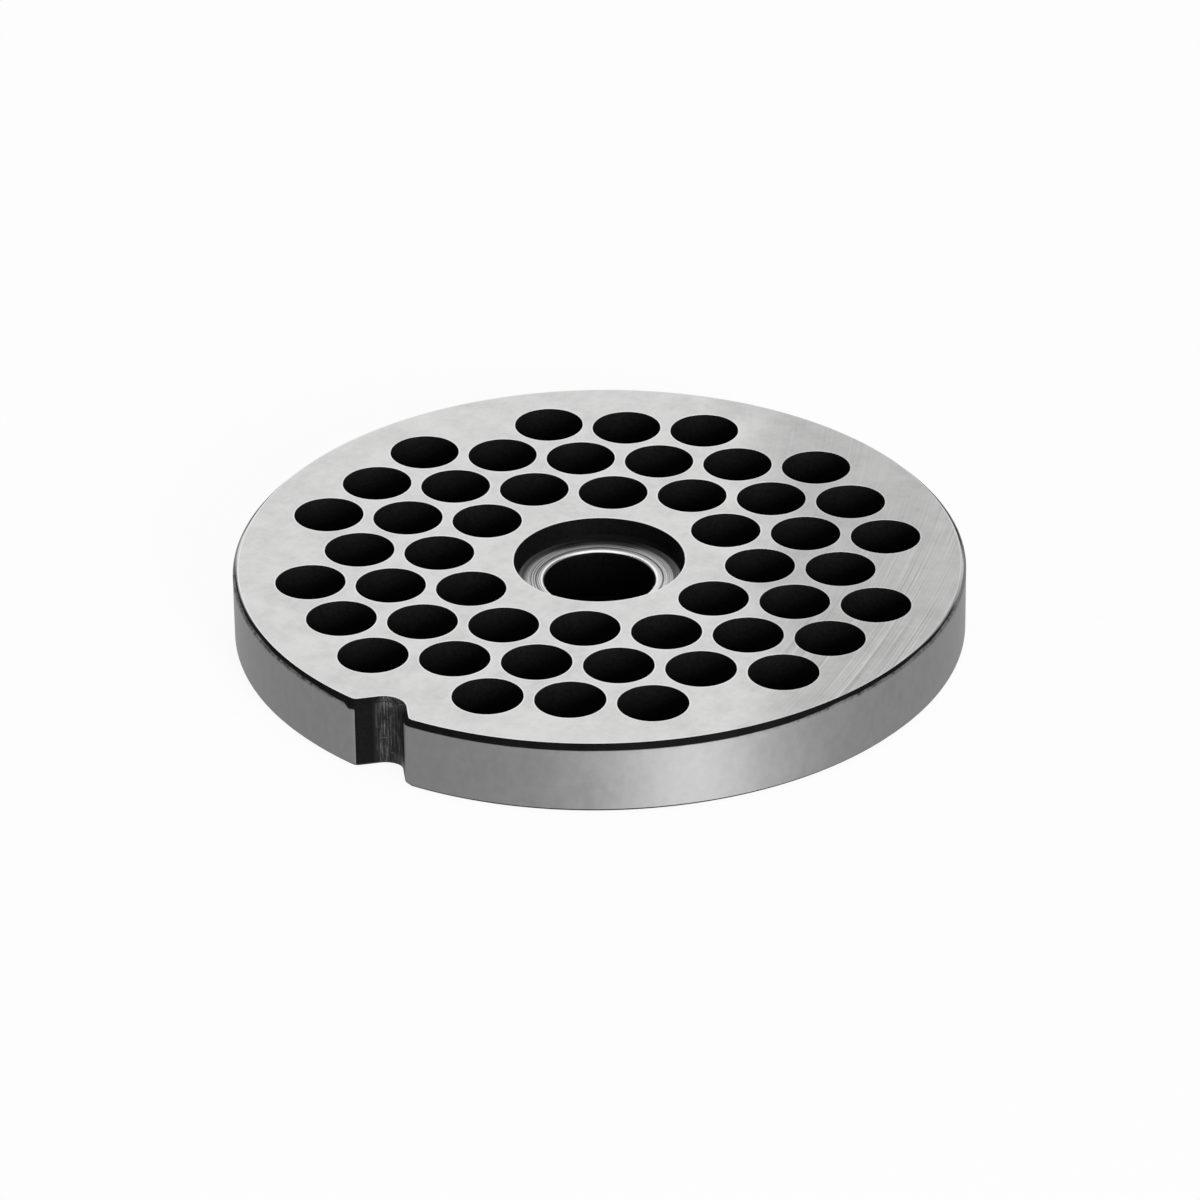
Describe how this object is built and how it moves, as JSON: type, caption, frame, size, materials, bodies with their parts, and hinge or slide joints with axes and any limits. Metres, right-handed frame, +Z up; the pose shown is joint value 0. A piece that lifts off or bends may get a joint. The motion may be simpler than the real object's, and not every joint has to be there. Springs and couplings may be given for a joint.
{
  "type": "meat grinder plate",
  "caption": "Round steel grinding plate with straight holes on a triangular grid, a bored and recessed hub, chamfered rim edges and one locating notch.",
  "frame": {"origin": "centre of the back face, on the axis of the bore", "axes": "+Z up through the bore towards the cutting face; the locating notch is on -Y, +X to its right"},
  "size_m": [0.0534, 0.0534, 0.0054],
  "materials": {
    "ground_steel": "ground faces, satin turned rim"
  },
  "bodies": {
    "root": {"grinder_plate": "ground_steel"}
  },
  "joints": []
}
